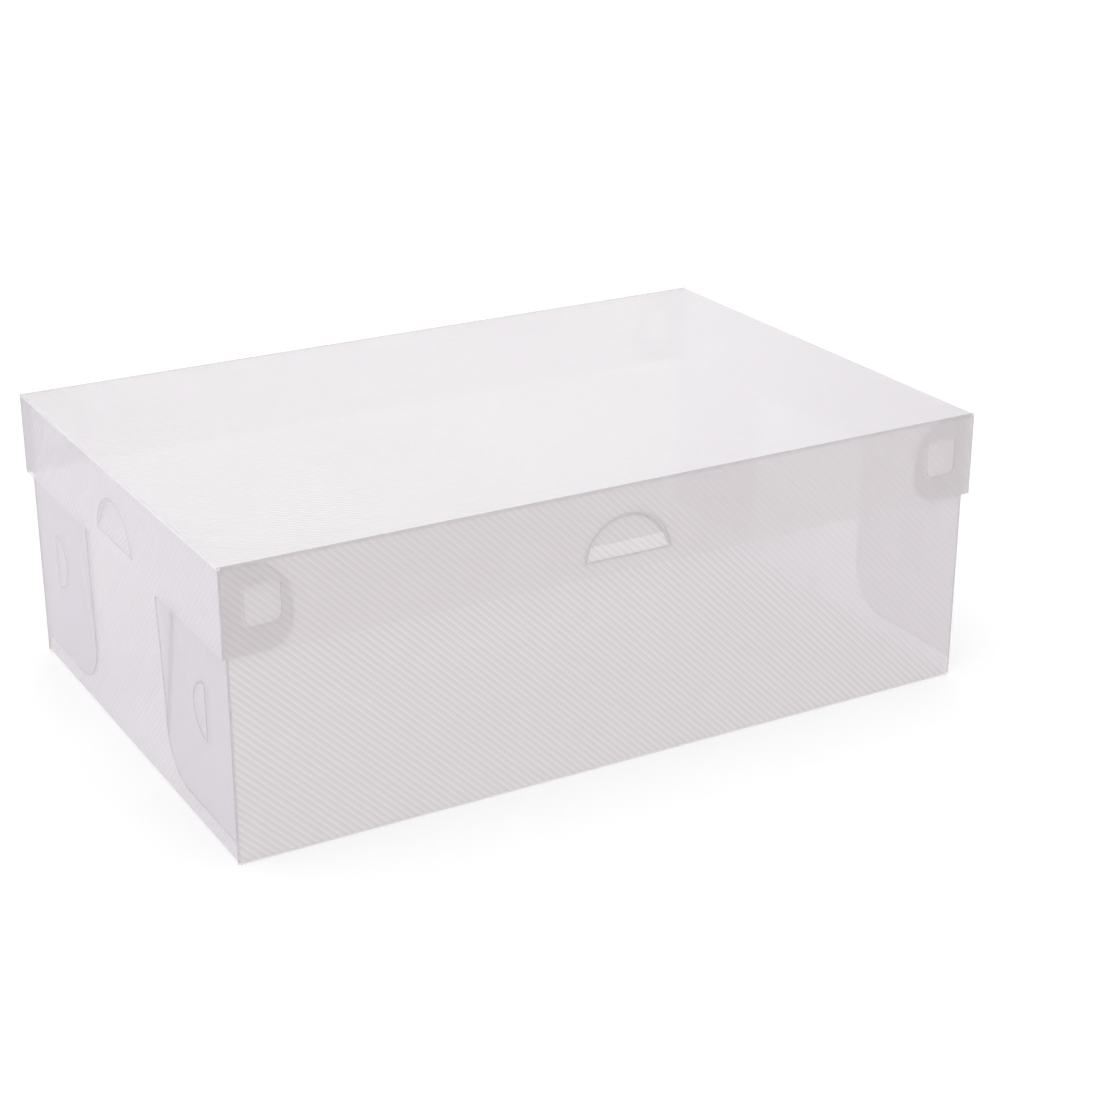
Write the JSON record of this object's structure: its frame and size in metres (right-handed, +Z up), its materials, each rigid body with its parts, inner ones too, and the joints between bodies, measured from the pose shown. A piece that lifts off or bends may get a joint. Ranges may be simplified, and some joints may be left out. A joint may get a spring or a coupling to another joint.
{
  "type": "shoe box",
  "caption": "Clear folding shoe box of ribbed film: tray with end walls, corner flaps and lock tongues, and a lift-off lid with folding skirts and thumb flaps.",
  "frame": {"origin": "on the table under the middle of the closed box", "axes": "+X along the long side, -Y out of the front, +Z up through the lid"},
  "size_m": [0.28, 0.185, 0.1],
  "materials": {
    "base_film": "clear ribbed polypropylene film, satin",
    "lid_film": "clear ribbed polypropylene film, satin"
  },
  "bodies": {
    "base": {"base_floor": "base_film", "base_front_wall": "base_film", "base_back_wall": "base_film"},
    "lid": {"lid_top": "lid_film"},
    "lid_front_skirt": {"lid_front_skirt": "lid_film"},
    "lid_back_skirt": {"lid_back_skirt": "lid_film"},
    "lid_left_skirt": {"lid_left_skirt": "lid_film", "lid_flap_front_left": "lid_film", "lid_flap_back_left": "lid_film"},
    "lid_right_skirt": {"lid_right_skirt": "lid_film", "lid_flap_front_right": "lid_film", "lid_flap_back_right": "lid_film"},
    "lid_tongue_front_left": {"lid_tongue_front_left": "lid_film"},
    "lid_tongue_back_left": {"lid_tongue_back_left": "lid_film"},
    "lid_tongue_front_right": {"lid_tongue_front_right": "lid_film"},
    "lid_tongue_back_right": {"lid_tongue_back_right": "lid_film"},
    "thumb_flap_front": {"thumb_flap_front": "lid_film"},
    "thumb_flap_back": {"thumb_flap_back": "lid_film"},
    "thumb_flap_left": {"thumb_flap_left": "lid_film"},
    "thumb_flap_right": {"thumb_flap_right": "lid_film"},
    "base_left_wall": {"base_left_wall": "base_film"},
    "base_right_wall": {"base_right_wall": "base_film"},
    "base_flap_front_left": {"base_flap_front_left": "base_film"},
    "base_tongue_front_left": {"base_tongue_front_left": "base_film"},
    "base_flap_back_left": {"base_flap_back_left": "base_film"},
    "base_tongue_back_left": {"base_tongue_back_left": "base_film"},
    "base_flap_front_right": {"base_flap_front_right": "base_film"},
    "base_tongue_front_right": {"base_tongue_front_right": "base_film"},
    "base_flap_back_right": {"base_flap_back_right": "base_film"},
    "base_tongue_back_right": {"base_tongue_back_right": "base_film"}
  },
  "joints": [
    {"name": "lid_lift", "type": "slide", "parent": "base", "child": "lid", "axis": [0, 0, 1], "range_m": [0, 0.15]},
    {"name": "lid_front_skirt_fold", "type": "hinge", "parent": "lid", "child": "lid_front_skirt", "pos_m": [0, -0.0925, 0.0995], "axis": [-1, 0, 0], "range_deg": [0, 90]},
    {"name": "lid_back_skirt_fold", "type": "hinge", "parent": "lid", "child": "lid_back_skirt", "pos_m": [0, 0.0925, 0.0995], "axis": [1, 0, 0], "range_deg": [0, 90]},
    {"name": "lid_left_skirt_fold", "type": "hinge", "parent": "lid", "child": "lid_left_skirt", "pos_m": [-0.14, 0, 0.0995], "axis": [0, 1, 0], "range_deg": [0, 90]},
    {"name": "lid_right_skirt_fold", "type": "hinge", "parent": "lid", "child": "lid_right_skirt", "pos_m": [0.14, 0, 0.0995], "axis": [0, -1, 0], "range_deg": [0, 90]},
    {"name": "lid_tongue_front_left_bend", "type": "hinge", "parent": "lid_front_skirt", "child": "lid_tongue_front_left", "pos_m": [-0.1265, -0.0925, 0.092], "axis": [-1, 0, 0], "range_deg": [0, 60], "stiffness_Nm_per_rad": 0.0005},
    {"name": "lid_tongue_back_left_bend", "type": "hinge", "parent": "lid_back_skirt", "child": "lid_tongue_back_left", "pos_m": [-0.1265, 0.0925, 0.092], "axis": [1, 0, 0], "range_deg": [0, 60], "stiffness_Nm_per_rad": 0.0005},
    {"name": "lid_tongue_front_right_bend", "type": "hinge", "parent": "lid_front_skirt", "child": "lid_tongue_front_right", "pos_m": [0.1265, -0.0925, 0.092], "axis": [-1, 0, 0], "range_deg": [0, 60], "stiffness_Nm_per_rad": 0.0005},
    {"name": "lid_tongue_back_right_bend", "type": "hinge", "parent": "lid_back_skirt", "child": "lid_tongue_back_right", "pos_m": [0.1265, 0.0925, 0.092], "axis": [1, 0, 0], "range_deg": [0, 60], "stiffness_Nm_per_rad": 0.0005},
    {"name": "thumb_flap_front_bend", "type": "hinge", "parent": "lid_front_skirt", "child": "thumb_flap_front", "pos_m": [0, -0.0925, 0.076], "axis": [1, 0, 0], "range_deg": [0, 75], "stiffness_Nm_per_rad": 0.0005},
    {"name": "thumb_flap_back_bend", "type": "hinge", "parent": "lid_back_skirt", "child": "thumb_flap_back", "pos_m": [0, 0.0925, 0.076], "axis": [-1, 0, 0], "range_deg": [0, 75], "stiffness_Nm_per_rad": 0.0005},
    {"name": "thumb_flap_left_bend", "type": "hinge", "parent": "lid_left_skirt", "child": "thumb_flap_left", "pos_m": [-0.14, 0, 0.076], "axis": [0, -1, 0], "range_deg": [0, 75], "stiffness_Nm_per_rad": 0.0005},
    {"name": "thumb_flap_right_bend", "type": "hinge", "parent": "lid_right_skirt", "child": "thumb_flap_right", "pos_m": [0.14, 0, 0.076], "axis": [0, 1, 0], "range_deg": [0, 75], "stiffness_Nm_per_rad": 0.0005},
    {"name": "base_left_wall_fold", "type": "hinge", "parent": "base", "child": "base_left_wall", "pos_m": [-0.13705, 0, 0.0005], "axis": [0, 1, 0], "range_deg": [0, 90]},
    {"name": "base_right_wall_fold", "type": "hinge", "parent": "base", "child": "base_right_wall", "pos_m": [0.13705, 0, 0.0005], "axis": [0, -1, 0], "range_deg": [0, 90]},
    {"name": "base_flap_front_left_fold", "type": "hinge", "parent": "base", "child": "base_flap_front_left", "pos_m": [-0.1382, -0.0902, 0.0385], "axis": [0, 0, 1], "range_deg": [0, 90]},
    {"name": "base_tongue_front_left_bend", "type": "hinge", "parent": "base_flap_front_left", "child": "base_tongue_front_left", "pos_m": [-0.1382, -0.0702, 0.0435], "axis": [0, 0, 1], "range_deg": [0, 60], "stiffness_Nm_per_rad": 0.0005},
    {"name": "base_flap_back_left_fold", "type": "hinge", "parent": "base", "child": "base_flap_back_left", "pos_m": [-0.1382, 0.0902, 0.0385], "axis": [0, 0, -1], "range_deg": [0, 90]},
    {"name": "base_tongue_back_left_bend", "type": "hinge", "parent": "base_flap_back_left", "child": "base_tongue_back_left", "pos_m": [-0.1382, 0.0702, 0.0435], "axis": [0, 0, -1], "range_deg": [0, 60], "stiffness_Nm_per_rad": 0.0005},
    {"name": "base_flap_front_right_fold", "type": "hinge", "parent": "base", "child": "base_flap_front_right", "pos_m": [0.1382, -0.0902, 0.0385], "axis": [0, 0, -1], "range_deg": [0, 90]},
    {"name": "base_tongue_front_right_bend", "type": "hinge", "parent": "base_flap_front_right", "child": "base_tongue_front_right", "pos_m": [0.1382, -0.0702, 0.0435], "axis": [0, 0, -1], "range_deg": [0, 60], "stiffness_Nm_per_rad": 0.0005},
    {"name": "base_flap_back_right_fold", "type": "hinge", "parent": "base", "child": "base_flap_back_right", "pos_m": [0.1382, 0.0902, 0.0385], "axis": [0, 0, 1], "range_deg": [0, 90]},
    {"name": "base_tongue_back_right_bend", "type": "hinge", "parent": "base_flap_back_right", "child": "base_tongue_back_right", "pos_m": [0.1382, 0.0702, 0.0435], "axis": [0, 0, 1], "range_deg": [0, 60], "stiffness_Nm_per_rad": 0.0005}
  ]
}
